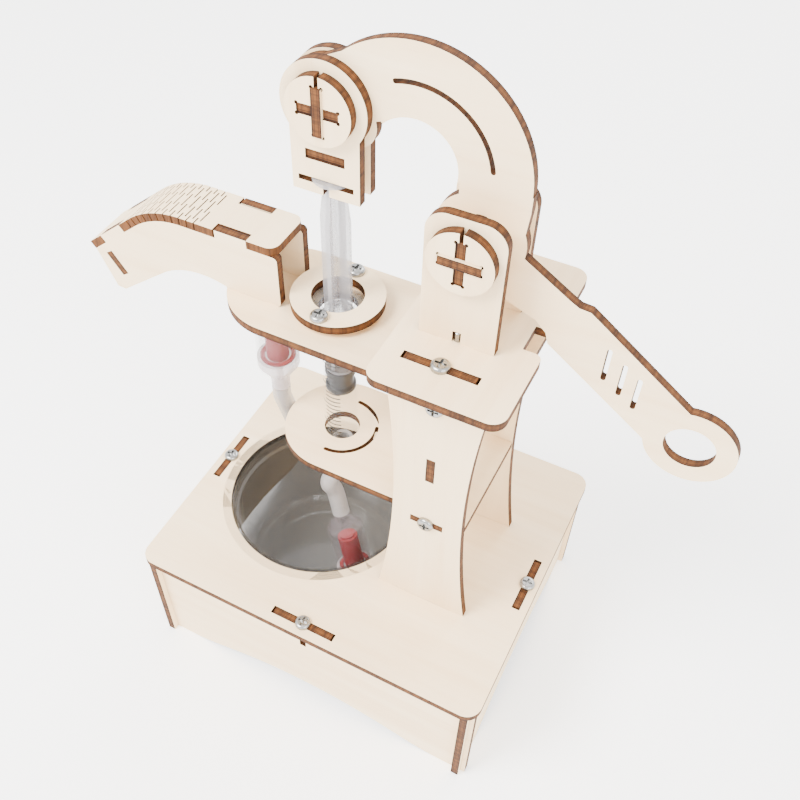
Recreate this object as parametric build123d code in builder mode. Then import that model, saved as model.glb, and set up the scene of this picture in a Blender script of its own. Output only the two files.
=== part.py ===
from build123d import *
import os
from math import cos, pi, radians, sin

# Hand water pump kit: laser-cut plywood frame, lever, clevis, syringe and tubes.
# Units are millimetres, +X runs from the spout to the handle, +Z is up.
# Y = 0 is the middle plane of the syringe, the lever and the base.

os.makedirs("parts", exist_ok=True)

# ---------------------------------------------------------------- driving dimensions
T = 2.5  # plywood thickness
FIT = 0.1  # slot is wider than its tab by this much

BASE_L = 120.0
BASE_W = 100.0
BASE_TOP = 46.5  # height of the upper face of the base plate
BASE_R = 5.0  # corner radius of the base plate
SIDE_X = 56.3  # middle plane of the side panels
FRONT_Y = 45.65  # middle plane of the front and back panels
SIDE_HALF = 48.9  # half length of a side panel
FRONT_HALF = 59.1  # half length of a front panel
ARCH_RISE = 7.2  # rise of the arch cut in each panel foot
FOOT_LEN = 10.0  # length left standing at each panel end
FRONT_TAB = 22.0  # slot length for the front and back panel tabs
SIDE_TAB = 20.0  # slot length for the side panel tabs
TAB_GAP = 3.2  # gap between two tabs, for the screw
END_GAP = 0.7  # slot left open beyond the outer end of each of these tabs
SLIT_W = 2.2  # slit that the screw bites into
SLIT_LEN = 10.0

CUP_X = -19.4
CUP_HOLE_R = 31.0
CUP_FLANGE_R = 33.9
CUP_DEPTH = 38.5
CUP_WALL = 0.9

TOWER_X = 28.2  # middle of the two legs
LEG_OUT = 20.25  # outer face of each leg
LEG_HALF_END = 14.7
LEG_HALF_WAIST = 10.6
LEG_TAB = 20.0
SHELF_TAB = 10.0

SYR_X = -10.0  # axis of the syringe
SHELF_TOP = 89.0
TONGUE_TOP = 138.3
DECK_TOP = 150.2
SHELF_HALF = 17.7  # half width of both shelves
SHELF_END = 38.8
TONGUE_ARC_X = -24.7
TONGUE_END = 43.5

DECK_X0 = 12.75
DECK_X1 = 48.2
DECK_HALF = 30.0
DECK_R = 4.0
NOTCH_HALF = 4.4
NOTCH_X = 43.0

PIVOT_X = 28.0
PIVOT_Z = 176.0
CHEEK_IN = 7.3  # inner face of each pivot cheek
CHEEK_HALF = 9.85
CHEEK_TOP = 186.5
CHEEK_R = 5.5
CAP_R = 8.35
STRIP_W_H = 10.4  # width of the lying axle strip
STRIP_W_V = 11.6  # width of the standing axle strip
STRIP_PROUD = 0.5
STRIP_SUNK = 0.4

PIN_X = -10.0  # clevis pin
PIN_Z = 199.2
PIN_CORE = 6.0  # strip width where the arm crosses the pin
ARM_SLOT_W = 7.8
ARM_SLOT_LEN = 6.5  # travel of the pin along the arm slot, towards the pivot
ARM_SLOT_OUT = 1.2  # and the other way, for the top of the stroke
CLEVIS_IN = 1.4
CLEVIS_R = 11.0
CLEVIS_NECK = 18.0
CLEVIS_BOTTOM = 176.0

ARC_X = 11.0  # centre of the curved lever arm
ARC_Z = 190.1
ARC_RO = 27.8
ARC_RI = 10.7
BOSS_R = 11.3
BOSS_HOLE_R = 6.0
GRIP_X = 86.2
GRIP_Z = 134.0
GRIP_R = 11.2
GRIP_HOLE_R = 6.25

BARREL_R = 5.3
BORE_R = 4.55
BARREL_BOTTOM = 83.6
FLANGE_T = 1.55
NOZZLE_R = 2.0
SEAL_Z0 = 106.0
SEAL_Z1 = 115.5
THUMB_Z = 179.0
THUMB_R = 5.3
ROD_HALF = 4.1
ROD_NECK = 2.9  # half width just under the thumb disc
RIB_T = 1.2

TUBE_R = 2.9
TUBE_BORE = 1.8
NIPPLE_R = 1.75
VALVE_R = 6.3
VALVE_LEN = 20.0
VALVE_X = -31.4
VALVE_Z = 109.8
VALVE_CAP_LEN = 8.0

SPOUT_OUT = 7.8  # outer face of each spout cheek
SPOUT_X1 = -23.3
SPOUT_TOP = 154.8
SPOUT_BEND_X = -53.0
SPOUT_BEND_R = 26.0
SPOUT_DROP = 39.0  # direction of the spout tip below level, degrees
SPOUT_TIP_LEN = 21.9


CENTRE_X = 4.49  # the saved origin is the middle of the whole model's footprint


def save(part, name):
    node = Pos(-CENTRE_X, 0, 0) * part
    node.label = name
    export_step(node, f"parts/{name}.step")


def upright(y_far):
    """Work plane parallel to XZ; extruding by T ends T nearer the front."""
    return Plane.XZ.offset(-y_far)


# ---------------------------------------------------------------- screws
HEAD_R = 2.45
HEAD_H = 1.45
SHANK_R = 1.0
RECESS_W = 0.7
RECESS_LEN = 3.0
RECESS_DEPTH = 0.9


def pan_screw(length):
    """Cross-head screw, head above Z = 0 and shank below it."""
    with BuildPart() as screw:
        Cylinder(HEAD_R, HEAD_H, align=(Align.CENTER, Align.CENTER, Align.MIN))
        fillet(screw.edges().group_by(Axis.Z)[-1], 0.9)
        with Locations((0, 0, HEAD_H)):
            Box(RECESS_LEN, RECESS_W, 2 * RECESS_DEPTH, mode=Mode.SUBTRACT)
            Box(RECESS_W, RECESS_LEN, 2 * RECESS_DEPTH, mode=Mode.SUBTRACT)
        Cylinder(SHANK_R, length, align=(Align.CENTER, Align.CENTER, Align.MAX))
        chamfer(screw.edges().group_by(Axis.Z)[0], 0.6)
    return screw.part


def screw_group(name, length, places):
    one = pan_screw(length)
    with BuildPart() as group:
        with Locations(*places):
            add(one)
    save(group.part, name)


# ---------------------------------------------------------------- base plate
side_slots = [(-SIDE_X, 0), (SIDE_X, 0)]
front_slots = [(0, -FRONT_Y), (0, FRONT_Y)]
leg_mid_y = LEG_OUT - T / 2

with BuildPart() as base_top:
    with BuildSketch(Plane.XY.offset(BASE_TOP - T)):
        RectangleRounded(BASE_L, BASE_W, BASE_R)
        with Locations((CUP_X, 0)):
            Circle(CUP_HOLE_R, mode=Mode.SUBTRACT)
        with Locations(*front_slots):
            Rectangle(FRONT_TAB, T + FIT, mode=Mode.SUBTRACT)
        with Locations(*side_slots):
            Rectangle(T + FIT, SIDE_TAB, mode=Mode.SUBTRACT)
        with Locations((TOWER_X, -leg_mid_y), (TOWER_X, leg_mid_y)):
            Rectangle(LEG_TAB + FIT, T + FIT, mode=Mode.SUBTRACT)
    extrude(amount=T)
save(base_top.part, "base_top")


def base_panel(plane, half, slot_len, cross_at, cut_from_top):
    """Side wall of the base with an arched foot, tabs and half-lap slots."""
    height = BASE_TOP - T
    tab_len = (slot_len - FIT - TAB_GAP) / 2 - END_GAP
    tab_mid = (TAB_GAP + tab_len) / 2
    foot = half - FOOT_LEN
    lap_z = 0.75 * height if cut_from_top else 0.25 * height
    with BuildPart() as panel:
        with BuildSketch(plane):
            with Locations((0, height / 2)):
                Rectangle(2 * half, height)
            with BuildLine():
                Spline(
                    (-foot, 0),
                    (-0.6 * foot, 0.5 * ARCH_RISE),
                    (0, ARCH_RISE),
                    (0.6 * foot, 0.5 * ARCH_RISE),
                    (foot, 0),
                    tangents=((1, 0), (1, 0)),
                )
                Line((foot, 0), (-foot, 0))
            make_face(mode=Mode.SUBTRACT)
            with Locations((-tab_mid, height + T / 2), (tab_mid, height + T / 2)):
                Rectangle(tab_len, T)
            with Locations((0, height - SLIT_LEN / 2)):
                Rectangle(SLIT_W, SLIT_LEN, mode=Mode.SUBTRACT)
            with Locations((-cross_at, lap_z), (cross_at, lap_z)):
                Rectangle(T + FIT, height / 2 + FIT, mode=Mode.SUBTRACT)
        extrude(amount=T)
    return panel.part


front_plane = upright(-FRONT_Y + T / 2)
back_plane = upright(FRONT_Y + T / 2)
left_plane = Plane.YZ.offset(-SIDE_X - T / 2)
right_plane = Plane.YZ.offset(SIDE_X - T / 2)
save(base_panel(front_plane, FRONT_HALF, FRONT_TAB, SIDE_X, False), "base_front")
save(base_panel(back_plane, FRONT_HALF, FRONT_TAB, SIDE_X, False), "base_back")
save(base_panel(left_plane, SIDE_HALF, SIDE_TAB, FRONT_Y, True), "base_left")
save(base_panel(right_plane, SIDE_HALF, SIDE_TAB, FRONT_Y, True), "base_right")

screw_group(
    "base_screws",
    10.0,
    [
        Location((0, -FRONT_Y, BASE_TOP)),
        Location((0, FRONT_Y, BASE_TOP)),
        Location((-SIDE_X, 0, BASE_TOP)),
        Location((SIDE_X, 0, BASE_TOP)),
    ],
)

# ---------------------------------------------------------------- water cup
CUP_FLOOR = BASE_TOP - CUP_DEPTH
CUP_TOP_R = CUP_HOLE_R - 0.3
CUP_FLOOR_R = 27.6
CUP_RING_R = 24.4  # raised ring near the rim of the floor
CUP_RING2_R = 19.4
CUP_STEP = 5.0  # depth of the ledge below the rim
CUP_STEP_IN = 0.9
cup_plane = Plane(origin=(CUP_X, 0, 0), x_dir=(1, 0, 0), z_dir=(0, -1, 0))
with BuildPart() as water_cup:
    with BuildSketch(cup_plane):
        with BuildLine():
            Polyline(
                (0, CUP_FLOOR),
                (CUP_FLOOR_R - 2, CUP_FLOOR),
                (CUP_FLOOR_R, CUP_FLOOR + 2),
                (CUP_TOP_R - CUP_STEP_IN, BASE_TOP - CUP_STEP - 0.8),
                (CUP_TOP_R, BASE_TOP - CUP_STEP),
                (CUP_TOP_R, BASE_TOP),
                (CUP_FLANGE_R, BASE_TOP),
                (CUP_FLANGE_R, BASE_TOP + CUP_WALL),
                (CUP_TOP_R - CUP_WALL, BASE_TOP + CUP_WALL),
                (CUP_TOP_R - CUP_WALL, BASE_TOP - CUP_STEP + 0.3),
                (CUP_TOP_R - CUP_STEP_IN - CUP_WALL, BASE_TOP - CUP_STEP - 0.5),
                (CUP_FLOOR_R - CUP_WALL, CUP_FLOOR + 2.3),
                (CUP_FLOOR_R - 2.3, CUP_FLOOR + CUP_WALL),
                (CUP_RING_R + 0.6, CUP_FLOOR + CUP_WALL),
                (CUP_RING_R, CUP_FLOOR + CUP_WALL + 0.7),
                (CUP_RING_R - 0.6, CUP_FLOOR + CUP_WALL),
                (CUP_RING2_R + 0.6, CUP_FLOOR + CUP_WALL),
                (CUP_RING2_R, CUP_FLOOR + CUP_WALL + 0.5),
                (CUP_RING2_R - 0.6, CUP_FLOOR + CUP_WALL),
                (0, CUP_FLOOR + CUP_WALL),
                close=True,
            )
        make_face()
    revolve(axis=Axis((CUP_X, 0, 0), (0, 0, 1)))
save(water_cup.part, "water_cup")

# ---------------------------------------------------------------- legs and tower panel
LEG_Z0 = BASE_TOP
LEG_Z1 = DECK_TOP - T
SHELF_MID_Z = SHELF_TOP - T / 2
TONGUE_MID_Z = TONGUE_TOP - T / 2
PANEL_TAB_Z = 111.7
PANEL_TAB_H = 9.4
PANEL_H = 28.0


def leg(y_far):
    mid_z = (LEG_Z0 + LEG_Z1) / 2
    top_tab = (LEG_TAB - TAB_GAP) / 2 - END_GAP
    top_mid = (TAB_GAP + top_tab) / 2
    with BuildPart() as plate:
        with BuildSketch(upright(y_far)):
            with BuildLine():
                x0 = TOWER_X - LEG_HALF_END
                x1 = TOWER_X + LEG_HALF_END
                Line((x0, LEG_Z0), (x1, LEG_Z0))
                waist = TOWER_X + LEG_HALF_WAIST
                ThreePointArc((x1, LEG_Z0), (waist, mid_z), (x1, LEG_Z1))
                Line((x1, LEG_Z1), (x0, LEG_Z1))
                waist = TOWER_X - LEG_HALF_WAIST
                ThreePointArc((x0, LEG_Z1), (waist, mid_z), (x0, LEG_Z0))
            make_face()
            with Locations((TOWER_X, LEG_Z0 - T / 2)):
                Rectangle(LEG_TAB, T)
            tab_z = LEG_Z1 + T / 2
            with Locations((TOWER_X - top_mid, tab_z), (TOWER_X + top_mid, tab_z)):
                Rectangle(top_tab, T)
            with Locations((TOWER_X, LEG_Z1 - SLIT_LEN / 2)):
                Rectangle(SLIT_W, SLIT_LEN, mode=Mode.SUBTRACT)
            with Locations((TOWER_X, SHELF_MID_Z), (TOWER_X, TONGUE_MID_Z)):
                Rectangle(SHELF_TAB + FIT, T + FIT, mode=Mode.SUBTRACT)
            with Locations((TOWER_X, PANEL_TAB_Z)):
                Rectangle(T + FIT, PANEL_TAB_H + FIT, mode=Mode.SUBTRACT)
        extrude(amount=T)
    return plate.part


save(leg(-LEG_OUT + T), "leg_front")
save(leg(LEG_OUT), "leg_back")

with BuildPart() as tower_panel:
    with BuildSketch(Plane.YZ.offset(TOWER_X - T / 2)):
        with Locations((0, PANEL_TAB_Z)):
            Rectangle(2 * SHELF_HALF, PANEL_H)
            Rectangle(2 * LEG_OUT, PANEL_TAB_H)
    extrude(amount=T)
save(tower_panel.part, "tower_panel")

# ---------------------------------------------------------------- shelves
ARC_SLOT_R = 10.7
ARC_SLOT_W = 1.2
arc_back = CenterArc((SYR_X, 0), ARC_SLOT_R, 32, 56)
arc_front = CenterArc((SYR_X, 0), ARC_SLOT_R, -90, 110)


def shelf_tabs():
    """Two tabs and a screw slit on each long edge of a shelf sketch."""
    half = (SHELF_TAB - TAB_GAP) / 2
    mid = (TAB_GAP + half) / 2
    slit_y = LEG_OUT - T - SLIT_LEN / 2
    for side in (-1, 1):
        tab_y = side * (LEG_OUT + SHELF_HALF) / 2
        with Locations((TOWER_X - mid, tab_y), (TOWER_X + mid, tab_y)):
            Rectangle(half, LEG_OUT - SHELF_HALF)
        with Locations((TOWER_X, side * slit_y)):
            Rectangle(SLIT_W, SLIT_LEN, mode=Mode.SUBTRACT)


with BuildPart() as mid_shelf:
    with BuildSketch(Plane.XY.offset(SHELF_TOP - T)):
        with Locations((SYR_X, 0)):
            Circle(SHELF_HALF)
        with Locations(((SYR_X + SHELF_END) / 2, 0)):
            Rectangle(SHELF_END - SYR_X, 2 * SHELF_HALF)
        with Locations((SYR_X, 0)):
            Circle(BARREL_R + 0.15, mode=Mode.SUBTRACT)
        SlotArc(arc_back, ARC_SLOT_W, mode=Mode.SUBTRACT)
        SlotArc(arc_front, ARC_SLOT_W, mode=Mode.SUBTRACT)
        shelf_tabs()
    extrude(amount=T)
save(mid_shelf.part, "mid_shelf")

SPOUT_TAB_X = -32.0
SPOUT_TAB = 8.0
spout_mid_y = SPOUT_OUT - T / 2
RING_SCREW_Y = 10.2

with BuildPart() as tongue:
    with BuildSketch(Plane.XY.offset(TONGUE_TOP - T)):
        with Locations((TONGUE_ARC_X, 0)):
            Circle(SHELF_HALF)
        with Locations(((TONGUE_ARC_X + TONGUE_END) / 2, 0)):
            Rectangle(TONGUE_END - TONGUE_ARC_X, 2 * SHELF_HALF)
        with Locations((SYR_X, 0)):
            Circle(BARREL_R + 0.15, mode=Mode.SUBTRACT)
        with Locations((SYR_X, -RING_SCREW_Y), (SYR_X, RING_SCREW_Y)):
            Circle(SHANK_R + 0.05, mode=Mode.SUBTRACT)
        with Locations((VALVE_X, 0)):
            Circle(TUBE_R + 0.2, mode=Mode.SUBTRACT)
        with Locations((SPOUT_TAB_X, -spout_mid_y), (SPOUT_TAB_X, spout_mid_y)):
            Rectangle(SPOUT_TAB + FIT, T + FIT, mode=Mode.SUBTRACT)
        shelf_tabs()
    extrude(amount=T)
save(tongue.part, "tongue")

RING_R = 12.85
RING_HOLE_R = 7.2
RING_Z = TONGUE_TOP + FLANGE_T
with BuildPart() as syringe_ring:
    with BuildSketch(Plane.XY.offset(RING_Z)):
        with Locations((SYR_X, 0)):
            Circle(RING_R)
            Circle(RING_HOLE_R, mode=Mode.SUBTRACT)
        with Locations((SYR_X, -RING_SCREW_Y), (SYR_X, RING_SCREW_Y)):
            Circle(SHANK_R + 0.05, mode=Mode.SUBTRACT)
    extrude(amount=T)
save(syringe_ring.part, "syringe_ring")

# ---------------------------------------------------------------- deck
CHEEK_TAB = 5.0
cheek_mid_y = CHEEK_IN + T / 2
cheek_tab_x = CHEEK_HALF - CHEEK_TAB / 2
with BuildPart() as deck:
    with BuildSketch(Plane.XY.offset(DECK_TOP - T)):
        with Locations(((DECK_X0 + DECK_X1) / 2, 0)):
            RectangleRounded(DECK_X1 - DECK_X0, 2 * DECK_HALF, DECK_R)
        with Locations(((NOTCH_X + DECK_X1) / 2 + 1, 0)):
            Rectangle(DECK_X1 - NOTCH_X + 2, 2 * NOTCH_HALF, mode=Mode.SUBTRACT)
        with Locations((TOWER_X, -leg_mid_y), (TOWER_X, leg_mid_y)):
            Rectangle(LEG_TAB + FIT, T + FIT, mode=Mode.SUBTRACT)
        for side in (-1, 1):
            y = side * cheek_mid_y
            with Locations((PIVOT_X - cheek_tab_x, y), (PIVOT_X + cheek_tab_x, y)):
                Rectangle(CHEEK_TAB + FIT, T + FIT, mode=Mode.SUBTRACT)
            with Locations((PIVOT_X, y)):
                Circle(SHANK_R + 0.05, mode=Mode.SUBTRACT)
    extrude(amount=T)
    prong_edges = deck.edges().filter_by(Axis.Z).filter_by_position(Axis.Y, -5, 5)
    outer_notch = prong_edges.filter_by_position(Axis.X, DECK_X1 - 0.1, DECK_X1 + 0.1)
    fillet(outer_notch, 2.0)
save(deck.part, "deck")


def pivot_cheek(y_far):
    slit_h = 3.4
    with BuildPart() as plate:
        with BuildSketch(upright(y_far)):
            with BuildLine():
                x0 = PIVOT_X - CHEEK_HALF
                x1 = PIVOT_X + CHEEK_HALF
                FilletPolyline(
                    (x0, DECK_TOP),
                    (x0, CHEEK_TOP),
                    (x1, CHEEK_TOP),
                    (x1, DECK_TOP),
                    radius=CHEEK_R,
                )
                Line((x1, DECK_TOP), (x0, DECK_TOP))
            make_face()
            tab_z = DECK_TOP - T / 2
            with Locations((PIVOT_X - cheek_tab_x, tab_z), (PIVOT_X + cheek_tab_x, tab_z)):
                Rectangle(CHEEK_TAB, T)
            with Locations((PIVOT_X, DECK_TOP + slit_h / 2)):
                Rectangle(SLIT_W, slit_h, mode=Mode.SUBTRACT)
            with Locations((PIVOT_X, PIVOT_Z)):
                Rectangle(STRIP_W_H + FIT, T + FIT, mode=Mode.SUBTRACT)
                Rectangle(T + FIT, STRIP_W_V + FIT, mode=Mode.SUBTRACT)
        extrude(amount=T)
    return plate.part


save(pivot_cheek(-CHEEK_IN), "pivot_cheek_front")
save(pivot_cheek(CHEEK_IN + T), "pivot_cheek_back")

# ---------------------------------------------------------------- cross axles and caps
DOG_R = 0.9  # relief at the ends of the cross slots
CAP_SLIT = 1.0


def cap(x, z, y_far):
    """Round end cap with a cross hole and a snap slit."""
    with BuildPart() as disc:
        with BuildSketch(upright(y_far)):
            with Locations((x, z)):
                Circle(CAP_R)
                Rectangle(STRIP_W_H + FIT, T + FIT, mode=Mode.SUBTRACT)
                Rectangle(T + FIT, STRIP_W_V + FIT, mode=Mode.SUBTRACT)
            with Locations((x, z + CAP_R / 2 + STRIP_W_V / 4)):
                Rectangle(CAP_SLIT, CAP_R - STRIP_W_V / 2 + 1, mode=Mode.SUBTRACT)
            ends = [
                (x - STRIP_W_H / 2, z - T / 2),
                (x - STRIP_W_H / 2, z + T / 2),
                (x + STRIP_W_H / 2, z - T / 2),
                (x + STRIP_W_H / 2, z + T / 2),
                (x - T / 2, z - STRIP_W_V / 2),
                (x + T / 2, z - STRIP_W_V / 2),
                (x - T / 2, z + STRIP_W_V / 2),
                (x + T / 2, z + STRIP_W_V / 2),
            ]
            with Locations(*ends):
                Circle(DOG_R / 2, mode=Mode.SUBTRACT)
        extrude(amount=T)
    return disc.part


def axle_pair(x, z, front_half, back_half, h_proud, v_proud, core, core_half):
    """Two strips lapped into a cross: the first lies flat, the second stands."""
    strips = []
    lap_y = (h_proud - v_proud) / 2
    for width, proud, lying in ((STRIP_W_H, h_proud, True), (STRIP_W_V, v_proud, False)):
        y0 = -front_half - proud
        y1 = back_half + proud
        plane = Plane.XY.offset(z - T / 2) if lying else Plane.YZ.offset(x - T / 2)
        with BuildPart() as strip:
            with BuildSketch(plane):
                mid_y = (y0 + y1) / 2
                spot = (x, mid_y) if lying else (mid_y, z)
                size = (width, y1 - y0) if lying else (y1 - y0, width)
                with Locations(spot):
                    Rectangle(*size)
                if core > 0:
                    trim = (width - core) / 2
                    for side in (-1, 1):
                        off = side * (core + trim) / 2
                        spot = (x + off, 0) if lying else (0, z + off)
                        size = (trim, 2 * core_half) if lying else (2 * core_half, trim)
                        with Locations(spot):
                            Rectangle(*size, mode=Mode.SUBTRACT)
                slot_y0, slot_y1 = (lap_y, y1) if lying == (h_proud > v_proud) else (y0, lap_y)
                slot_mid = (slot_y0 + slot_y1) / 2
                spot = (x, slot_mid) if lying else (slot_mid, z)
                length = slot_y1 - slot_y0 + FIT
                size = (T + FIT, length) if lying else (length, T + FIT)
                with Locations(spot):
                    Rectangle(*size, mode=Mode.SUBTRACT)
            extrude(amount=T)
        strips.append(strip.part)
    return strips


cap_out = CHEEK_IN + 2 * T
pivot_strips = axle_pair(PIVOT_X, PIVOT_Z, cap_out, cap_out, STRIP_PROUD, -STRIP_SUNK, 0, 0)
save(pivot_strips[0], "pivot_strip_flat")
save(pivot_strips[1], "pivot_strip_upright")
save(cap(PIVOT_X, PIVOT_Z, -CHEEK_IN - T), "pivot_cap_front")
save(cap(PIVOT_X, PIVOT_Z, cap_out), "pivot_cap_back")

# ---------------------------------------------------------------- lever
arm_len = ((PIVOT_X - PIN_X) ** 2 + (PIN_Z - PIVOT_Z) ** 2) ** 0.5
arm_x = (PIVOT_X - PIN_X) / arm_len
arm_z = (PIVOT_Z - PIN_Z) / arm_len
SLOT_END_X = PIN_X + ARM_SLOT_LEN * arm_x
SLOT_END_Z = PIN_Z + ARM_SLOT_LEN * arm_z
ARM_HEAD_R = 10.4
ARM_LIP_R = 6.4
SWEEP_R = 18.8  # radius of the long curved slot in the arm
SWEEP_W = 1.2
GRIP_SLOT = 10.0
sweep_arc = CenterArc((ARC_X, ARC_Z), SWEEP_R, 10, 95)
arm_slot_start = (PIN_X - ARM_SLOT_OUT * arm_x, PIN_Z - ARM_SLOT_OUT * arm_z)
arm_slot_line = Line(arm_slot_start, (SLOT_END_X, SLOT_END_Z))

with BuildPart() as lever:
    with BuildSketch(upright(T / 2)):
        # curved arm, cut away below the head and beside the pivot
        with Locations((ARC_X, ARC_Z)):
            Circle(ARC_RO)
        with Locations((ARC_X, ARC_Z)):
            Circle(ARC_RI, mode=Mode.SUBTRACT)
        with BuildLine():
            Polyline(
                (-30, 150),
                (60, 150),
                (60, 176),
                (27, 176),
                (22.2, 188.5),
                (8, 190),
                (2.9, 198.0),
                (-12, 203),
                (-30, 203),
                close=True,
            )
        make_face(mode=Mode.SUBTRACT)
        # head around the clevis pin
        with BuildLine():
            Polyline(
                (-17.5, 206.6),
                (-1.2, 214.2),
                (6, 210),
                (2.9, 198.0),
                (-8, 194),
                close=True,
            )
        make_face()
        with Locations((PIN_X, PIN_Z)):
            Circle(ARM_HEAD_R)
        with Locations((SLOT_END_X, SLOT_END_Z)):
            Circle(ARM_LIP_R)
        # pivot boss and handle
        with Locations((PIVOT_X, PIVOT_Z)):
            Circle(BOSS_R)
        with BuildLine():
            Polyline(
                (22.2, 190.0),
                (22.2, 184.0),
                (18.5, 170.0),
                (24.0, 165.4),
                (44.0, 157.4),
                (46.9, 154.6),
                (47.8, 151.5),
                (77.5, 130.0),
                (86.2, 143.0),
                (83.5, 145.1),
                (58.6, 163.2),
                (56.2, 164.9),
                (53.4, 165.1),
                (51.0, 166.4),
                (38.4, 174.3),
                (38.2, 177.0),
                (39.0, 186.0),
                (39.0, 190.0),
                close=True,
            )
        make_face()
        with Locations((GRIP_X, GRIP_Z)):
            Circle(GRIP_R)
            Circle(GRIP_HOLE_R, mode=Mode.SUBTRACT)
        with Locations((PIVOT_X, PIVOT_Z)):
            Circle(BOSS_HOLE_R, mode=Mode.SUBTRACT)
        SlotArc(sweep_arc, SWEEP_W, mode=Mode.SUBTRACT)
        SlotArc(arm_slot_line, ARM_SLOT_W, mode=Mode.SUBTRACT)
        with Locations((62.4, 151.1), (66.7, 148.0), (70.8, 145.2)):
            SlotOverall(GRIP_SLOT, 1.3, rotation=90, mode=Mode.SUBTRACT)
    extrude(amount=T)
save(lever.part, "lever")

# ---------------------------------------------------------------- clevis
SPACER_W = 10.2
SPACER_Z = 186.4
THUMB_SLOT_LEN = 14.7
THUMB_SLOT_H = 1.4
RIB_SLIT = 1.6


def clevis_cheek(y_far):
    with BuildPart() as plate:
        with BuildSketch(upright(y_far)):
            with Locations((PIN_X, PIN_Z)):
                Circle(CLEVIS_R)
            with Locations((PIN_X, (PIN_Z + CLEVIS_BOTTOM) / 2)):
                Rectangle(CLEVIS_NECK, PIN_Z - CLEVIS_BOTTOM)
            with Locations((PIN_X, PIN_Z)):
                Rectangle(STRIP_W_H + FIT, T + FIT, mode=Mode.SUBTRACT)
                Rectangle(T + FIT, STRIP_W_V + FIT, mode=Mode.SUBTRACT)
            with Locations((PIN_X, SPACER_Z)):
                Rectangle(SPACER_W + FIT, T + FIT, mode=Mode.SUBTRACT)
            with Locations((PIN_X, THUMB_Z + 0.5)):
                Rectangle(THUMB_SLOT_LEN, THUMB_SLOT_H, mode=Mode.SUBTRACT)
            with Locations((PIN_X, (CLEVIS_BOTTOM + THUMB_Z) / 2)):
                Rectangle(RIB_SLIT, THUMB_Z - CLEVIS_BOTTOM, mode=Mode.SUBTRACT)
        extrude(amount=T)
    return plate.part


save(clevis_cheek(-CLEVIS_IN), "clevis_cheek_front")
save(clevis_cheek(CLEVIS_IN + T), "clevis_cheek_back")

with BuildPart() as clevis_spacer:
    with BuildSketch(Plane.XY.offset(SPACER_Z - T / 2)):
        with Locations((PIN_X, 0)):
            Rectangle(SPACER_W, 2 * (CLEVIS_IN + T) - 1.0)
    extrude(amount=T)
save(clevis_spacer.part, "clevis_spacer")

clevis_out = CLEVIS_IN + 2 * T
clevis_strips = axle_pair(
    PIN_X, PIN_Z, clevis_out, clevis_out, -STRIP_SUNK, STRIP_PROUD, PIN_CORE, CLEVIS_IN
)
save(clevis_strips[0], "clevis_strip_flat")
save(clevis_strips[1], "clevis_strip_upright")
save(cap(PIN_X, PIN_Z, -CLEVIS_IN - T), "clevis_cap_front")
save(cap(PIN_X, PIN_Z, clevis_out), "clevis_cap_back")

# ---------------------------------------------------------------- syringe
FLANGE_LEN = 22.0
FLANGE_W = 12.0
NOZZLE_Z = 75.5
with BuildPart() as syringe_barrel:
    with BuildSketch(Plane.XY.offset(TONGUE_TOP)):
        with Locations((SYR_X, 0)):
            SlotOverall(FLANGE_LEN, FLANGE_W)
    extrude(amount=FLANGE_T)
    with BuildSketch(Plane.XY.offset(BARREL_BOTTOM)):
        with Locations((SYR_X, 0)):
            Circle(BARREL_R)
    extrude(amount=TONGUE_TOP - BARREL_BOTTOM)
    with BuildSketch(Plane.XY.offset(NOZZLE_Z)):
        with Locations((SYR_X, 0)):
            Circle(NOZZLE_R)
    extrude(amount=BARREL_BOTTOM - NOZZLE_Z)
    with BuildSketch(Plane.XY.offset(BARREL_BOTTOM + 1.0)):
        with Locations((SYR_X, 0)):
            Circle(BORE_R)
    extrude(amount=TONGUE_TOP + FLANGE_T - BARREL_BOTTOM, mode=Mode.SUBTRACT)
    with BuildSketch(Plane.XY.offset(NOZZLE_Z)):
        with Locations((SYR_X, 0)):
            Circle(1.0)
    extrude(amount=BARREL_BOTTOM + 1.0 - NOZZLE_Z, mode=Mode.SUBTRACT)
save(syringe_barrel.part, "syringe_barrel")

SEAL_R = BORE_R - 0.05
with BuildPart() as piston_seal:
    with BuildSketch(Plane(origin=(SYR_X, 0, 0), x_dir=(1, 0, 0), z_dir=(0, -1, 0))):
        with BuildLine():
            Polyline(
                (0, SEAL_Z0),
                (1.2, SEAL_Z0),
                (SEAL_R, SEAL_Z0 + 1.4),
                (SEAL_R, SEAL_Z0 + 2.6),
                (SEAL_R - 0.7, SEAL_Z0 + 3.2),
                (SEAL_R - 0.7, SEAL_Z1 - 2.6),
                (SEAL_R, SEAL_Z1 - 2.0),
                (SEAL_R, SEAL_Z1),
                (0, SEAL_Z1),
                close=True,
            )
        make_face()
    revolve(axis=Axis((SYR_X, 0, 0), (0, 0, 1)))
save(piston_seal.part, "piston_seal")

ROD_Z0 = SEAL_Z1
COLLAR_Z = 136.0


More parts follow.
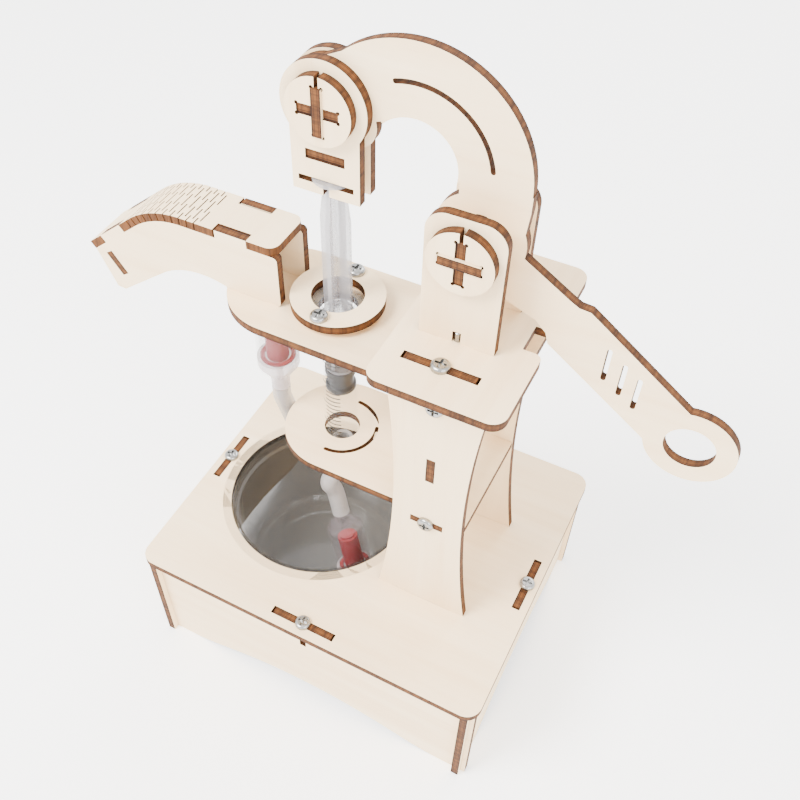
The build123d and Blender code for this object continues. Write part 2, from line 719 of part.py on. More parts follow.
with BuildPart() as plunger_rod:
    for plane, u0 in ((Plane.XZ, SYR_X), (Plane.YZ.offset(SYR_X), 0)):
        with BuildSketch(plane):
            with BuildLine():
                FilletPolyline(
                    (u0 - ROD_HALF, ROD_Z0),
                    (u0 - ROD_HALF, THUMB_Z - 12.0),
                    (u0 - ROD_NECK, THUMB_Z - 3.0),
                    (u0 - 1.3, THUMB_Z),
                    (u0 + 1.3, THUMB_Z),
                    (u0 + ROD_NECK, THUMB_Z - 3.0),
                    (u0 + ROD_HALF, THUMB_Z - 12.0),
                    (u0 + ROD_HALF, ROD_Z0),
                    radius=0.8,
                )
                Line((u0 + ROD_HALF, ROD_Z0), (u0 - ROD_HALF, ROD_Z0))
            make_face()
        extrude(amount=RIB_T / 2, both=True)
    with Locations((SYR_X, 0, ROD_Z0 + 0.5), (SYR_X, 0, COLLAR_Z)):
        Cylinder(ROD_HALF + 0.2, 1.0)
    with Locations((SYR_X, 0, THUMB_Z + 0.5)):
        Cylinder(THUMB_R, 1.0)
save(plunger_rod.part, "plunger_rod")

# ---------------------------------------------------------------- Y connector
JOIN_Z = 71.5
ARM_LEN = 7.8
ARM_DROP = 49.0  # the two arms point down by this angle
ARM_SPREAD = 60.0  # and swing this far to each side of the spout direction
TEE_R = 3.2
TEE_BORE = 1.0
flat = cos(radians(ARM_DROP))
fall = sin(radians(ARM_DROP))
ahead = flat * cos(radians(ARM_SPREAD))
aside = flat * sin(radians(ARM_SPREAD))
arm_dirs = [Vector(-ahead, -aside, -fall), Vector(-ahead, aside, -fall)]
join = Vector(SYR_X, 0, JOIN_Z)
from_base = (Align.CENTER, Align.CENTER, Align.MIN)

with BuildPart() as y_connector:
    with Locations((SYR_X, 0, JOIN_Z)):
        Sphere(TEE_R)
        Cylinder(TEE_R, BARREL_BOTTOM - 0.5 - JOIN_Z, align=from_base)
    for way in arm_dirs:
        with Locations(Plane(origin=join, z_dir=way)):
            Cylinder(NIPPLE_R, ARM_LEN, align=from_base)
            Cylinder(TEE_R - 0.5, 5.2, align=from_base)
    with Locations((SYR_X, 0, NOZZLE_Z - 0.5)):
        Cylinder(NOZZLE_R + 0.05, BARREL_BOTTOM - NOZZLE_Z, align=from_base, mode=Mode.SUBTRACT)
    with Locations((SYR_X, 0, JOIN_Z)):
        Cylinder(TEE_BORE, NOZZLE_Z - JOIN_Z, align=from_base, mode=Mode.SUBTRACT)
    for way in arm_dirs:
        with Locations(Plane(origin=join, z_dir=way)):
            Cylinder(TEE_BORE, ARM_LEN + 1.0, align=from_base, mode=Mode.SUBTRACT)
save(y_connector.part, "y_connector")

# ---------------------------------------------------------------- check valves
out_place = Location((VALVE_X, 0, VALVE_Z))
IN_FOOT = Vector(-2.3, -7.9, 26.8)  # lower end of the inlet valve housing
IN_WAY = Vector(-5.8, 2.9, 19.2).normalized()
in_place = Plane(origin=IN_FOOT, z_dir=IN_WAY).location


def revolved(points):
    with BuildPart() as body:
        with BuildSketch(Plane.XZ):
            with BuildLine():
                Polyline(*points, close=True)
            make_face()
        revolve(axis=Axis.Z)
    return body.part


def placed(part, place, name):
    with BuildPart() as node:
        with Locations(place):
            add(part)
    save(node.part, name)


SHELL = 0.9
NECK_R = 2.45
CAP_NECK_R = 2.8
OUT_NECK = 5.0
housing = revolved(
    [
        (VALVE_R - SHELL, 0),
        (VALVE_R, 0),
        (VALVE_R, VALVE_LEN - 2.4),
        (VALVE_R - 2.0, VALVE_LEN),
        (NECK_R, VALVE_LEN + 0.6),
        (NECK_R, VALVE_LEN + 3.3),
        (NIPPLE_R, VALVE_LEN + 3.3),
        (NIPPLE_R, VALVE_LEN + 8.0),
        (1.0, VALVE_LEN + 8.0),
        (1.0, VALVE_LEN - SHELL),
        (VALVE_R - 2.5, VALVE_LEN - SHELL),
        (VALVE_R - SHELL, VALVE_LEN - 2.8),
    ]
)
SEAT_R = 3.4
SEAT_LEN = 13.0
seat = revolved(
    [
        (1.5, -3.0),
        (2.6, -3.0),
        (2.6, 0.0),
        (SEAT_R, 0.0),
        (SEAT_R, SEAT_LEN),
        (1.5, SEAT_LEN),
    ]
)
gasket = revolved(
    [
        (SEAT_R + 0.6, 0.0),
        (VALVE_R - SHELL - 0.1, 0.0),
        (VALVE_R - SHELL - 0.1, 0.5),
        (SEAT_R + 0.6, 0.5),
    ]
)


def valve_cap(neck_len, nipple_len):
    foot = -VALVE_CAP_LEN - neck_len
    return revolved(
        [
            (2.7, 0),
            (VALVE_R + 0.1, 0),
            (VALVE_R + 0.1, -2.8),
            (CAP_NECK_R + 0.3, -VALVE_CAP_LEN),
            (CAP_NECK_R, foot),
            (NIPPLE_R, foot),
            (NIPPLE_R, foot - nipple_len),
            (1.0, foot - nipple_len),
            (1.0, -3.2),
            (2.7, -3.2),
        ]
    )


FLAP_R = 2.5
FLAP_T = 0.6
flap = revolved(
    [
        (0, SEAT_LEN + 0.1),
        (FLAP_R, SEAT_LEN + 0.1),
        (FLAP_R, SEAT_LEN + 0.1 + FLAP_T),
        (0, SEAT_LEN + 0.1 + FLAP_T),
    ]
)
for place, prefix, neck, nipple in (
    (out_place, "outlet", OUT_NECK, 5.0),
    (in_place, "inlet", 0.2, 0.2),
):
    placed(housing, place, f"{prefix}_valve_body")
    placed(seat, place, f"{prefix}_valve_seat")
    placed(gasket, place, f"{prefix}_valve_gasket")
    placed(valve_cap(neck, nipple), place, f"{prefix}_valve_cap")
    placed(flap, place, f"{prefix}_valve_flap")

# ---------------------------------------------------------------- tubes


def tube(name, points, radii):
    """Hollow silicone tube along straight runs joined by tangent arcs."""
    with BuildLine() as path:
        FilletPolyline(*points, radius=radii)
    start = path.line @ 0
    way = path.line % 0
    with BuildPart() as hose:
        with BuildSketch(Plane(origin=start, z_dir=way)):
            Circle(TUBE_R)
            Circle(TUBE_BORE, mode=Mode.SUBTRACT)
        sweep(path=path.line)
    save(hose.part, name)


def along(way, dist):
    return tuple(join + way * dist)


in_end = IN_FOOT + IN_WAY * (VALVE_LEN + 3.5)
in_bend = IN_FOOT + IN_WAY * (VALVE_LEN + 13.5)
tube(
    "inlet_tube",
    [along(arm_dirs[0], 5.4), along(arm_dirs[0], 9.8), tuple(in_bend), tuple(in_end)],
    [4.0, 10.0],
)
tube(
    "outlet_tube",
    [
        along(arm_dirs[1], 5.4),
        along(arm_dirs[1], 13.0),
        (-28.0, 5.0, 66.0),
        (VALVE_X, 0, 92.0),
        (VALVE_X, 0, VALVE_Z - VALVE_CAP_LEN - OUT_NECK - 0.2),
    ],
    [3.8, 8.8, 10.0],
)
MOUTH_X = -79.7
MOUTH_Z = 132.0
tube(
    "spout_tube",
    [
        (VALVE_X, 0, VALVE_Z + VALVE_LEN + 3.5),
        (VALVE_X, 0, 147.0),
        (-62.0, 0, 147.0),
        (-82.0, 0, 129.8),
    ],
    [8.0, 15.0],
)

# ---------------------------------------------------------------- spout
drop = radians(SPOUT_DROP)
bend_end = (
    SPOUT_BEND_X - SPOUT_BEND_R * sin(drop),
    SPOUT_TOP - SPOUT_BEND_R * (1 - cos(drop)),
)
tip_way = (-cos(drop), -sin(drop))
tip_up = (-sin(drop), cos(drop))


def on_tip(dist, height):
    """Point beside the straight end of the spout, measured back from its tip."""
    back = SPOUT_TIP_LEN - dist
    x = bend_end[0] + tip_way[0] * back + tip_up[0] * height
    z = bend_end[1] + tip_way[1] * back + tip_up[1] * height
    return (x, z)


REAR_TAB_X0 = -42.2
REAR_TAB_X1 = -32.4
TIP_TAB0 = 5.4
TIP_TAB1 = 15.8
SLOT_ANGLE = 124.0


def bend_point(angle, height):
    a = radians(angle)
    r = SPOUT_BEND_R + height
    return (SPOUT_BEND_X - r * sin(a), SPOUT_TOP - SPOUT_BEND_R + r * cos(a))


def spout_cheek(y_far):
    with BuildPart() as plate:
        with BuildSketch(upright(y_far)):
            with BuildLine():
                Line((SPOUT_X1, TONGUE_TOP), (SPOUT_X1, SPOUT_TOP))
                Line((SPOUT_X1, SPOUT_TOP), (SPOUT_BEND_X, SPOUT_TOP))
                ThreePointArc((SPOUT_BEND_X, SPOUT_TOP), bend_point(SPOUT_DROP / 2, 0), bend_end)
                Line(bend_end, on_tip(-0.5, 0))
                Line(on_tip(-0.5, 0), (-81.8, 122.5))
                Line((-81.8, 122.5), (-79.0, 122.3))
                Line((-79.0, 122.3), (-62.0, 135.4))
                ThreePointArc((-62.0, 135.4), (-50.5, 139.7), (-40.0, TONGUE_TOP))
                Line((-40.0, TONGUE_TOP), (SPOUT_X1, TONGUE_TOP))
            make_face()
            with Locations(((REAR_TAB_X0 + REAR_TAB_X1) / 2, SPOUT_TOP + T / 2)):
                Rectangle(REAR_TAB_X1 - REAR_TAB_X0, T)
            with BuildLine():
                Polyline(
                    on_tip(TIP_TAB0, -1.0),
                    on_tip(TIP_TAB0, T),
                    on_tip(TIP_TAB1, T),
                    on_tip(TIP_TAB1, -1.0),
                    close=True,
                )
            make_face()
            with Locations((SPOUT_TAB_X, TONGUE_TOP - T / 2)):
                Rectangle(SPOUT_TAB, T)
            with Locations((MOUTH_X, MOUTH_Z)):
                Rectangle(8.1, T + FIT, rotation=SLOT_ANGLE, mode=Mode.SUBTRACT)
        extrude(amount=T)
        rear = plate.edges().filter_by(Axis.Y).filter_by_position(
            Axis.X, SPOUT_X1 - 0.1, SPOUT_X1 + 0.1
        )
        fillet(rear, 1.2)
        tip_low = plate.edges().filter_by(Axis.Y).group_by(Axis.Z)[0]
        fillet(tip_low, 0.8)
    return plate.part


save(spout_cheek(-SPOUT_OUT + T), "spout_cheek_front")
save(spout_cheek(SPOUT_OUT), "spout_cheek_back")

# mouth plate: crosses the duct near its tip and holds the tube end
MOUTH_LEN = 13.0
mouth_plane = Plane(
    origin=(MOUTH_X, 0, MOUTH_Z),
    x_dir=(cos(radians(SLOT_ANGLE)), 0, sin(radians(SLOT_ANGLE))),
    z_dir=(-sin(radians(SLOT_ANGLE)), 0, cos(radians(SLOT_ANGLE))),
)
with BuildPart() as spout_mouth:
    with BuildSketch(mouth_plane):
        Rectangle(MOUTH_LEN, 2 * (SPOUT_OUT - T) - 0.1)
        Rectangle(8.0, 2 * SPOUT_OUT)
        Circle(TUBE_R + 0.5, mode=Mode.SUBTRACT)
    extrude(amount=T / 2, both=True)
save(spout_mouth.part, "spout_mouth")

# bent top sheet with its living hinge
HINGE_PITCH = 1.2
HINGE_KERF = 0.4
HINGE_COLS = 22
HINGE_S0 = -47.4  # where the first kerf column stands on the flat part
SHEET_X1 = -23.8
NOTCH_SLACK = 0.5  # the sheet notches are cut a little deeper than the tabs
OPEN_DASHES = [(-6.8, 3.0), (0.0, 5.6), (6.8, 3.0)]
CLOSED_DASHES = [(-4.0, 4.7), (4.0, 4.7)]


def sheet_spot(s):
    """Point and slope of the sheet at arc length s past the first column."""
    flat_len = HINGE_S0 - SPOUT_BEND_X
    bend_len = SPOUT_BEND_R * drop
    if s <= flat_len:
        return (HINGE_S0 - s, SPOUT_TOP, 0.0)
    if s <= flat_len + bend_len:
        angle = (s - flat_len) / SPOUT_BEND_R * 180 / pi
        x, z = bend_point(angle, 0)
        return (x, z, angle)
    rest = s - flat_len - bend_len
    return (bend_end[0] + tip_way[0] * rest, bend_end[1] + tip_way[1] * rest, SPOUT_DROP)


with BuildPart() as spout_sheet:
    with BuildSketch(upright(SPOUT_OUT)):
        with BuildLine():
            Line((SHEET_X1, SPOUT_TOP), (SHEET_X1, SPOUT_TOP + T))
            Line((SHEET_X1, SPOUT_TOP + T), (SPOUT_BEND_X, SPOUT_TOP + T))
            ThreePointArc(
                (SPOUT_BEND_X, SPOUT_TOP + T),
                bend_point(SPOUT_DROP / 2, T),
                bend_point(SPOUT_DROP, T),
            )
            Line(bend_point(SPOUT_DROP, T), on_tip(-0.6, T))
            Line(on_tip(-0.6, T), on_tip(-0.6, 0))
            Line(on_tip(-0.6, 0), bend_end)
            ThreePointArc(bend_end, bend_point(SPOUT_DROP / 2, 0), (SPOUT_BEND_X, SPOUT_TOP))
            Line((SPOUT_BEND_X, SPOUT_TOP), (SHEET_X1, SPOUT_TOP))
        make_face()
    extrude(amount=2 * SPOUT_OUT)
    rear = spout_sheet.edges().filter_by(Axis.Z).group_by(Axis.X)[-1]
    fillet(rear, 3.0)
    # notches for the cheek tabs
    rear_mid = ((REAR_TAB_X0 + REAR_TAB_X1) / 2, SPOUT_TOP + T / 2)
    tip_mid = on_tip((TIP_TAB0 + TIP_TAB1) / 2, T / 2)
    for side in (-1, 1):
        notch_y = side * (SPOUT_OUT - T / 2 + 0.5 - NOTCH_SLACK / 2)
        notch_w = T + 1 + NOTCH_SLACK
        with Locations((rear_mid[0] - NOTCH_SLACK / 2, notch_y, rear_mid[1])):
            rear_len = REAR_TAB_X1 - REAR_TAB_X0 + FIT + NOTCH_SLACK
            Box(rear_len, notch_w, T + 1, mode=Mode.SUBTRACT)
        with Locations(Location((tip_mid[0], notch_y, tip_mid[1]), (0, -SPOUT_DROP, 0))):
            Box(TIP_TAB1 - TIP_TAB0 + FIT, notch_w, T + 1, mode=Mode.SUBTRACT)
    # kerf columns, alternately open at the edges and closed
    for col in range(HINGE_COLS):
        x, z, slope = sheet_spot(col * HINGE_PITCH)
        dashes = CLOSED_DASHES if col % 2 == 0 else OPEN_DASHES
        spots = [Location((x, y, z), (0, -slope, 0)) for y, length in dashes]
        for spot, dash in zip(spots, dashes):
            with Locations(spot):
                Box(HINGE_KERF, dash[1], 3 * T, mode=Mode.SUBTRACT)
save(spout_sheet.part, "spout_sheet")

# ---------------------------------------------------------------- remaining screws
screw_group(
    "leg_screws",
    9.0,
    [
        Location((TOWER_X, -LEG_OUT, SHELF_MID_Z), (90, 0, 0)),
        Location((TOWER_X, -LEG_OUT, TONGUE_MID_Z), (90, 0, 0)),
        Location((TOWER_X, LEG_OUT, SHELF_MID_Z), (-90, 0, 0)),
        Location((TOWER_X, LEG_OUT, TONGUE_MID_Z), (-90, 0, 0)),
    ],
)
screw_group(
    "deck_screws",
    9.0,
    [
        Location((TOWER_X, -leg_mid_y, DECK_TOP)),
        Location((TOWER_X, leg_mid_y, DECK_TOP)),
    ],
)
screw_group(
    "ring_screws",
    8.5,
    [
        Location((SYR_X, -RING_SCREW_Y, RING_Z + T)),
        Location((SYR_X, RING_SCREW_Y, RING_Z + T)),
    ],
)
screw_group(
    "cheek_screws",
    5.6,
    [
        Location((PIVOT_X, -cheek_mid_y, DECK_TOP - T), (180, 0, 0)),
        Location((PIVOT_X, cheek_mid_y, DECK_TOP - T), (180, 0, 0)),
    ],
)
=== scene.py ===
"""Looks of the hand water pump kit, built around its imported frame.

Every CAD piece keeps its mesh and gets a procedural material. The only new piece is the printed
scale on the syringe. The stage, the lights and the camera come last.
"""
import math

import bmesh
import bpy
from mathutils import Matrix, Vector


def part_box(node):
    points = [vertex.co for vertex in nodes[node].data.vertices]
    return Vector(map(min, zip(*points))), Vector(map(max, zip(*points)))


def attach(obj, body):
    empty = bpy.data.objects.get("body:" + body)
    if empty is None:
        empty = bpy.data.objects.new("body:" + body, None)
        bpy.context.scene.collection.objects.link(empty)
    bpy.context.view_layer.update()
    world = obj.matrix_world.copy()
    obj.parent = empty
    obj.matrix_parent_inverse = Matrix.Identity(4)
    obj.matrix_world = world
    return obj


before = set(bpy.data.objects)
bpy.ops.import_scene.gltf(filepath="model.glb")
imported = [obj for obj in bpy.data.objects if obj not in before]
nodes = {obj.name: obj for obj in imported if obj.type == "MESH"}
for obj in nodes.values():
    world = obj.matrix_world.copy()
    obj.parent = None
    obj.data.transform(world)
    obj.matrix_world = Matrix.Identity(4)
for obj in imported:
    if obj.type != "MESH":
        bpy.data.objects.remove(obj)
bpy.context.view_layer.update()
X, Y, Z = Vector((1, 0, 0)), Vector((0, 1, 0)), Vector((0, 0, 1))
PLY_THICK = 0.0025


# ---------------------------------------------------------------- node helpers
class Tree:
    """A material's node tree with short ways to add and join nodes."""

    def __init__(self, name):
        self.mat = bpy.data.materials.new(name)
        self.mat.use_nodes = True
        self.nt = self.mat.node_tree
        self.nt.nodes.clear()
        self.out = self.nt.nodes.new("ShaderNodeOutputMaterial")
        self.bsdf = self.nt.nodes.new("ShaderNodeBsdfPrincipled")
        self.join(self.bsdf.outputs[0], self.out.inputs["Surface"])

    def join(self, a, b):
        self.nt.links.new(a, b)

    def node(self, kind, **inputs):
        n = self.nt.nodes.new(kind)
        for key, value in inputs.items():
            self.put(n.inputs[key.replace("_", " ")], value)
        return n

    def put(self, socket, value):
        if isinstance(value, bpy.types.NodeSocket):
            self.join(value, socket)
        else:
            socket.default_value = value

    def set(self, **inputs):
        for key, value in inputs.items():
            self.put(self.bsdf.inputs[key.replace("_", " ")], value)

    def math(self, op, a, b=0.0, c=0.0):
        n = self.nt.nodes.new("ShaderNodeMath")
        n.operation = op
        for i, value in enumerate((a, b, c)):
            self.put(n.inputs[i], value)
        return n.outputs[0]

    def vec(self, op, a, b):
        n = self.nt.nodes.new("ShaderNodeVectorMath")
        n.operation = op
        self.put(n.inputs[0], a)
        self.put(n.inputs[1], b)
        return n.outputs["Value"] if op in ("DOT_PRODUCT", "LENGTH") else n.outputs[0]

    def ramp(self, value, stops, smooth=False):
        n = self.nt.nodes.new("ShaderNodeValToRGB")
        self.put(n.inputs[0], value)
        n.color_ramp.interpolation = "EASE" if smooth else "LINEAR"
        while len(n.color_ramp.elements) < len(stops):
            n.color_ramp.elements.new(0.5)
        for e, (pos, col) in zip(n.color_ramp.elements, stops):
            e.position = pos
            e.color = (*col, 1) if len(col) == 3 else col
        return n.outputs[0]

    def grey(self, value, lo, hi, a=0.0, b=1.0):
        """Map value from lo..hi to a..b, held at both ends."""
        n = self.nt.nodes.new("ShaderNodeMapRange")
        n.clamp = True
        for i, v in enumerate((value, lo, hi, a, b)):
            self.put(n.inputs[i], v)
        return n.outputs[0]

    def mix(self, fac, a, b, blend="MIX"):
        n = self.nt.nodes.new("ShaderNodeMix")
        n.data_type = "RGBA"
        n.blend_type = blend
        self.put(n.inputs[0], fac)
        self.put(n.inputs[6], a if not isinstance(a, tuple) else (*a, 1))
        self.put(n.inputs[7], b if not isinstance(b, tuple) else (*b, 1))
        return n.outputs[2]

    def coords(self):
        return self.nt.nodes.new("ShaderNodeTexCoord").outputs["Object"]

    def scaled(self, vector, scale):
        n = self.nt.nodes.new("ShaderNodeMapping")
        self.put(n.inputs["Vector"], vector)
        n.inputs["Scale"].default_value = scale
        return n.outputs[0]

    def noise(self, vector, scale, detail=3.0, rough=0.5):
        n = self.node(
            "ShaderNodeTexNoise", Vector=vector, Scale=scale, Detail=detail, Roughness=rough
        )
        return n.outputs["Fac"]

    def bump(self, height, strength, distance):
        n = self.node("ShaderNodeBump", Height=height, Strength=strength, Distance=distance)
        self.join(n.outputs[0], self.bsdf.inputs["Normal"])


def paint(mat, *names):
    """Give the named CAD pieces this one material."""
    for name in names:
        o = nodes[name]
        o.data.materials.clear()
        o.data.materials.append(mat)


# ---------------------------------------------------------------- plywood
FACE_PALE = (0.84, 0.645, 0.405)
FACE_DEEP = (0.79, 0.575, 0.335)
FACE_PORE = (0.62, 0.41, 0.22)
FACE_LIGHT = (0.88, 0.70, 0.465)
CUT_DARK = (0.010, 0.003, 0.001)
CUT_MID = (0.040, 0.012, 0.003)
CUT_LIGHT = (0.120, 0.040, 0.008)
CUT_WARM = (0.20, 0.075, 0.018)
# tones from the middle of the sheet's thickness (0) out to its face (1)
PLY_BANDS = [
    (0.0, CUT_LIGHT),
    (0.28, CUT_LIGHT),
    (0.38, CUT_MID),
    (0.60, CUT_LIGHT),
    (0.76, CUT_MID),
    (0.92, CUT_DARK),
]
FACE_ROUGH = 0.58
CUT_ROUGH = 0.82
ALIGNED = 0.7


def stretched(direction, along, across):
    """Pattern scales that draw a noise out along a direction."""
    return tuple(along if abs(d) > ALIGNED else across for d in direction)


def plywood(name, axis, grain, mid, half, seed=0.0):
    """Birch ply: a pale streaked face, and a laser-browned cut edge that shows its plies.

    axis is the sheet's normal and grain the direction of its streaks. mid and half are the middle
    and the half-thickness along the axis. seed shifts the pattern from sheet to sheet.
    """
    t = Tree(name)
    p = t.vec("ADD", t.coords(), (seed, seed * 0.7, seed * 1.3))
    geo = t.nt.nodes.new("ShaderNodeNewGeometry")
    facing = t.math("ABSOLUTE", t.vec("DOT_PRODUCT", geo.outputs["True Normal"], tuple(axis)))
    is_face = t.math("GREATER_THAN", facing, ALIGNED)

    # face: long soft streaks, fine pores and a faint cloudy tone
    stretch = stretched(grain, 18.0, 260.0)
    streak = t.noise(t.scaled(p, stretch), 1.0, 5.0, 0.55)
    wave = t.noise(t.scaled(p, tuple(v * 0.35 for v in stretch)), 1.0, 2.0, 0.4)
    pore = t.noise(t.scaled(p, stretched(grain, 90.0, 2600.0)), 1.0, 2.0, 0.6)
    cloud = t.noise(p, 28.0, 2.0, 0.5)
    tone = t.math("ADD", t.math("MULTIPLY", streak, 0.55), t.math("MULTIPLY", wave, 0.45))
    face = t.ramp(tone, [(0.32, FACE_DEEP), (0.56, FACE_PALE), (0.72, FACE_LIGHT)], True)
    face = t.mix(t.grey(pore, 0.62, 0.80, 0.0, 0.30), face, FACE_PORE)
    face = t.mix(t.grey(cloud, 0.35, 0.75, 0.0, 0.16), face, FACE_LIGHT)

    # edge: plies across the thickness, scorch streaks along the beam
    across = t.vec("DOT_PRODUCT", t.coords(), tuple(axis))
    depth = t.math("DIVIDE", t.math("SUBTRACT", across, mid), half)
    ply = t.math("ABSOLUTE", depth)
    scorch = t.noise(t.scaled(p, stretched(axis, 60.0, 900.0)), 1.0, 3.0, 0.6)
    blotch = t.noise(p, 210.0, 3.0, 0.6)
    waver = t.math("MULTIPLY", t.math("SUBTRACT", blotch, 0.5), 0.35)
    cut = t.ramp(t.math("ADD", ply, waver), PLY_BANDS)
    cut = t.mix(t.grey(scorch, 0.38, 0.66, 0.0, 0.75), cut, CUT_DARK)
    cut = t.mix(t.grey(blotch, 0.55, 0.8, 0.0, 0.35), cut, CUT_WARM)

    t.set(Base_Color=t.mix(is_face, cut, face))
    t.set(Roughness=t.mix(is_face, (CUT_ROUGH,) * 3, (FACE_ROUGH,) * 3))
    t.set(Specular_IOR_Level=0.25)
    height = t.math("ADD", t.math("MULTIPLY", pore, 0.6), t.math("MULTIPLY", streak, 0.4))
    t.bump(height, 0.18, 0.0004)
    return t.mat


def mid_of(name, axis):
    """Middle and half-thickness of a piece's box along an axis."""
    lo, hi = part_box(name)
    return (lo + hi).dot(axis) / 2, abs((hi - lo).dot(axis)) / 2


# sheets by the way they lie, then by the way their grain runs
flat_x = ["base_top", "mid_shelf", "tongue", "syringe_ring", "clevis_spacer"]
flat_y = ["deck", "pivot_strip_flat", "clevis_strip_flat"]
front_x = ["base_front", "base_back", "lever", "spout_cheek_front", "spout_cheek_back"]
pairs = ("leg", "pivot_cheek", "pivot_cap", "clevis_cheek", "clevis_cap")
front_z = [f"{pair}_{side}" for pair in pairs for side in ("front", "back")]
side_y = ["base_left", "base_right", "tower_panel", "pivot_strip_upright", "clevis_strip_upright"]
kinds = [(flat_x, Z, X), (flat_y, Z, Y), (front_x, Y, X), (front_z, Y, Z), (side_y, X, Y)]
sheets = [(name, axis, grain) for names, axis, grain in kinds for name in names]
SEED_STEP = 0.137
for i, (name, axis, grain) in enumerate(sheets):
    mid, half = mid_of(name, axis)
    paint(plywood("ply_" + name, axis, grain, mid, half, SEED_STEP * i), name)

# the bent sheet has no single axis, so a huge thickness gives its edge one even tone
NO_BANDS = 10.0
paint(plywood("ply_spout_sheet", Z, Y, 0.0, NO_BANDS, 1.7), "spout_sheet")

# the mouth plate leans, so its box is thicker than the sheet
MOUTH_SLOPE = math.radians(124.0)
mouth_axis = Vector((-math.sin(MOUTH_SLOPE), 0, math.cos(MOUTH_SLOPE)))
mouth_mid, _ = mid_of("spout_mouth", mouth_axis)
paint(plywood("ply_spout_mouth", mouth_axis, Y, mouth_mid, PLY_THICK / 2, 2.1), "spout_mouth")


# ---------------------------------------------------------------- plastics, rubber, steel
RIM_BLEND = 0.0004
BARREL_FLANGE = 0.0019
CUP_FLANGE = 0.0012


def clear_plastic(name, tint, veil, rough, rim=None):
    """Thin clear moulding with a gloss coat.

    veil is how much of it hides what is behind. rim is a height and the veil above that height.
    """
    t = Tree(name)
    p = t.coords()
    n = t.noise(t.scaled(p, (400, 400, 60)), 1.0, 3.0, 0.6)
    t.set(Base_Color=(*tint, 1), IOR=1.46, Specular_IOR_Level=0.5)
    t.set(Coat_Weight=0.35, Coat_Roughness=0.05)
    t.set(Roughness=t.grey(n, 0.35, 0.7, rough, rough + 0.08))
    if rim is None:
        t.set(Alpha=veil)
    else:
        rim_z, rim_veil = rim
        height = t.node("ShaderNodeSeparateXYZ", Vector=p).outputs["Z"]
        t.set(Alpha=t.grey(height, rim_z, rim_z + RIM_BLEND, veil, rim_veil))
    t.bump(n, 0.04, 0.0003)
    return t.mat


def milky(name, tint, body, rough):
    """Translucent moulded plastic or silicone: body is how much of it hides what is behind."""
    t = Tree(name)
    p = t.coords()
    cloud = t.noise(p, 90.0, 2.0, 0.5)
    fine = t.noise(p, 1800.0, 2.0, 0.5)
    deep = tuple(c * 0.93 for c in tint)
    t.set(Base_Color=t.mix(t.grey(cloud, 0.3, 0.7), deep, tint))
    t.set(Alpha=body, IOR=1.42, Specular_IOR_Level=0.5)
    t.set(Roughness=t.grey(fine, 0.3, 0.7, rough, rough + 0.1))
    t.bump(cloud, 0.05, 0.0003)
    return t.mat


def solid(name, tint, rough, grain_scale, metal=0.0, strength=0.1):
    """Opaque rubber, hard plastic or steel with a faint mottle."""
    t = Tree(name)
    p = t.coords()
    n = t.noise(p, grain_scale, 4.0, 0.6)
    t.set(Base_Color=t.mix(t.grey(n, 0.3, 0.7), tuple(c * 0.8 for c in tint), tint), Metallic=metal)
    t.set(Roughness=t.grey(n, 0.3, 0.7, rough - 0.06, rough + 0.1))
    t.bump(n, strength, 0.0003)
    return t.mat


barrel_lo, barrel_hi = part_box("syringe_barrel")
cup_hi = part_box("water_cup")[1]
barrel_rim = (barrel_hi.z - BARREL_FLANGE, 0.28)
cup_rim = (cup_hi.z - CUP_FLANGE, 0.04)
paint(clear_plastic("syringe_clear", (0.16, 0.165, 0.18), 0.045, 0.05, barrel_rim), "syringe_barrel")
valve_clear = clear_plastic("valve_clear", (0.20, 0.165, 0.18), 0.13, 0.10)
paint(valve_clear, "inlet_valve_body", "outlet_valve_body")
# painted shade: the cup is clear, but a dark brown-grey tint and a high veil paint the shade of the
# box interior seen through its wall
paint(clear_plastic("cup_clear_painted_shade", (0.070, 0.062, 0.052), 0.66, 0.16, cup_rim), "water_cup")
paint(milky("plunger_milky", (0.42, 0.405, 0.42), 0.50, 0.22), "plunger_rod")
paint(milky("connector_milky", (0.56, 0.54, 0.53), 0.7, 0.25), "y_connector")
silicone = milky("silicone_milky", (0.40, 0.375, 0.365), 0.50, 0.26)
paint(silicone, "inlet_tube", "outlet_tube", "spout_tube")
cap_white = milky("cap_white", (0.58, 0.51, 0.51), 0.60, 0.22)
paint(cap_white, "inlet_valve_cap", "outlet_valve_cap")
seat_red = solid("seat_red", (0.25, 0.002, 0.0015), 0.45, 900.0)
paint(seat_red, "inlet_valve_seat", "outlet_valve_seat")
red_soft = solid("gasket_red", (0.26, 0.003, 0.003), 0.5, 700.0)
paint(red_soft, "inlet_valve_gasket", "outlet_valve_gasket", "inlet_valve_flap", "outlet_valve_flap")
paint(solid("seal_black", (0.006, 0.006, 0.008), 0.42, 800.0), "piston_seal")
steel = solid("screw_steel", (0.34, 0.34, 0.335), 0.28, 1500.0, 1.0, 0.06)
paint(steel, "base_screws", "leg_screws", "deck_screws", "ring_screws", "cheek_screws")


# ---------------------------------------------------------------- syringe scale
def new_object(name, bm):
    """Turn a bmesh into a linked object."""
    mesh = bpy.data.meshes.new(name)
    bm.to_mesh(mesh)
    bm.free()
    o = bpy.data.objects.new(name, mesh)
    bpy.context.scene.collection.objects.link(o)
    return o


axis_x = (barrel_lo.x + barrel_hi.x) / 2
axis_y = (barrel_lo.y + barrel_hi.y) / 2
BARREL_R = 0.0053
INK_R = BARREL_R + 0.00004
INK_T = 0.00042
DEGREES_PER_FACE = 5


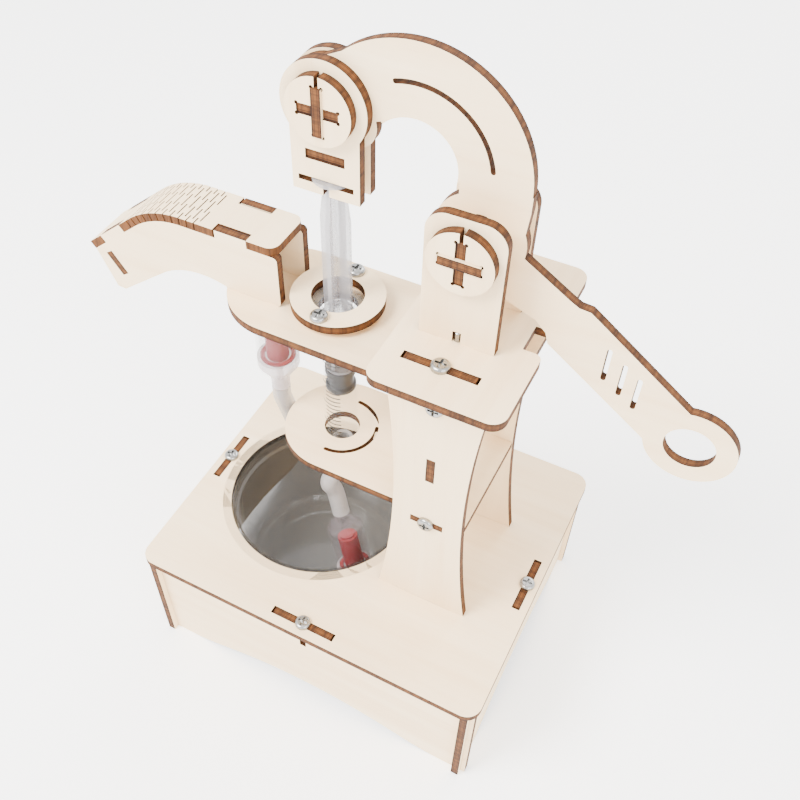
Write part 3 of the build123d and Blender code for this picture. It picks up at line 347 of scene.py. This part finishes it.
def ring_mark(bm, z, turn0, turn1):
    """A printed tick: a thin curved patch of ink on the barrel."""
    steps = max(6, int(abs(turn1 - turn0) / DEGREES_PER_FACE))
    rows = []
    for i in range(steps + 1):
        a = math.radians(turn0 + (turn1 - turn0) * i / steps)
        x = axis_x + INK_R * math.cos(a)
        y = axis_y + INK_R * math.sin(a)
        rows.append([bm.verts.new((x, y, z + dz)) for dz in (-INK_T / 2, INK_T / 2)])
    for a, b in zip(rows, rows[1:]):
        bm.faces.new((a[0], b[0], b[1], a[1]))


SCALE_Z0 = barrel_lo.z + 0.0112
SCALE_STEP = 0.00165
SCALE_MARKS = 26
SCALE_END = -64.0
LONG_SPAN = 78.0
SHORT_SPAN = 54.0
LONG_EVERY = 5
bm = bmesh.new()
for i in range(SCALE_MARKS):
    span = LONG_SPAN if i % LONG_EVERY == 0 else SHORT_SPAN
    ring_mark(bm, SCALE_Z0 + i * SCALE_STEP, SCALE_END - span, SCALE_END)
scale_marks = new_object("scale_marks", bm)
ink = solid("scale_ink", (0.015, 0.015, 0.018), 0.5, 2500.0, 0.0, 0.03)
scale_marks.data.materials.append(ink)
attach(scale_marks, "frame")


# ---------------------------------------------------------------- stage, lights, camera
FLOOR_SIZE = 3.0
FLOOR_GLOW = 0.7
FLOOR_TONES = ((0.955, 0.955, 0.955), (0.97, 0.97, 0.97))
SKY_COLOUR = (1.0, 0.99, 0.975, 1)
SKY_STRENGTH = 2.9

floor_bm = bmesh.new()
bmesh.ops.create_grid(floor_bm, x_segments=1, y_segments=1, size=FLOOR_SIZE)
floor = new_object("floor", floor_bm)
t = Tree("floor_pale")
haze = t.noise(t.coords(), 3.0, 2.0, 0.5)
t.set(Base_Color=t.mix(t.grey(haze, 0.3, 0.7), *FLOOR_TONES), Roughness=0.6)
t.set(Specular_IOR_Level=0.2, Emission_Color=(1, 1, 1, 1), Emission_Strength=FLOOR_GLOW)
floor.data.materials.append(t.mat)

world = bpy.data.worlds.new("studio")
bpy.context.scene.world = world
world.use_nodes = True
sky = world.node_tree.nodes["Background"]
sky.inputs["Color"].default_value = SKY_COLOUR
sky.inputs["Strength"].default_value = SKY_STRENGTH


def area_light(name, at, aim, size, power, colour=(1, 1, 1)):
    """A round soft light: size is its width in metres and power is in watts."""
    data = bpy.data.lights.new(name, "AREA")
    data.shape = "DISK"
    data.size = size
    data.energy = power
    data.color = colour
    lamp = bpy.data.objects.new(name, data)
    bpy.context.scene.collection.objects.link(lamp)
    lamp.location = at
    lamp.rotation_euler = (Vector(aim) - Vector(at)).to_track_quat("-Z", "Y").to_euler()


area_light("key", (-0.45, -0.55, 0.95), (0, 0, 0.1), 0.5, 32.0, (1.0, 0.985, 0.96))
area_light("fill", (0.75, -0.5, 0.6), (0, 0, 0.1), 0.7, 9.0, (0.97, 0.985, 1.0))
area_light("rim", (0.1, 0.9, 0.8), (0, 0, 0.12), 0.6, 9.0)

CAM_AT = Vector((0.08058, -0.16266, 0.30962))
CAM_AIM = Vector((-0.01509, 0.00750, 0.08368))
CAM_ROLL = -0.0214
SENSOR_MM = 36.0
LENS_MM = 42.36
LENS_SHIFT = (0.0593, 0.0237)
view = (CAM_AIM - CAM_AT).normalized()
right = view.cross(Z).normalized()
up = right.cross(view)
c, s = math.cos(CAM_ROLL), math.sin(CAM_ROLL)
rolled_right = c * right + s * up
rolled_up = c * up - s * right
cam_data = bpy.data.cameras.new("camera")
cam_data.sensor_width = SENSOR_MM
cam_data.lens = LENS_MM
cam_data.shift_x, cam_data.shift_y = LENS_SHIFT
cam_data.clip_start = 0.01
cam_data.clip_end = 20.0
cam = bpy.data.objects.new("camera", cam_data)
bpy.context.scene.collection.objects.link(cam)
turn = Matrix((rolled_right, rolled_up, -view)).transposed().to_4x4()
cam.matrix_world = Matrix.Translation(CAM_AT) @ turn
bpy.context.scene.camera = cam
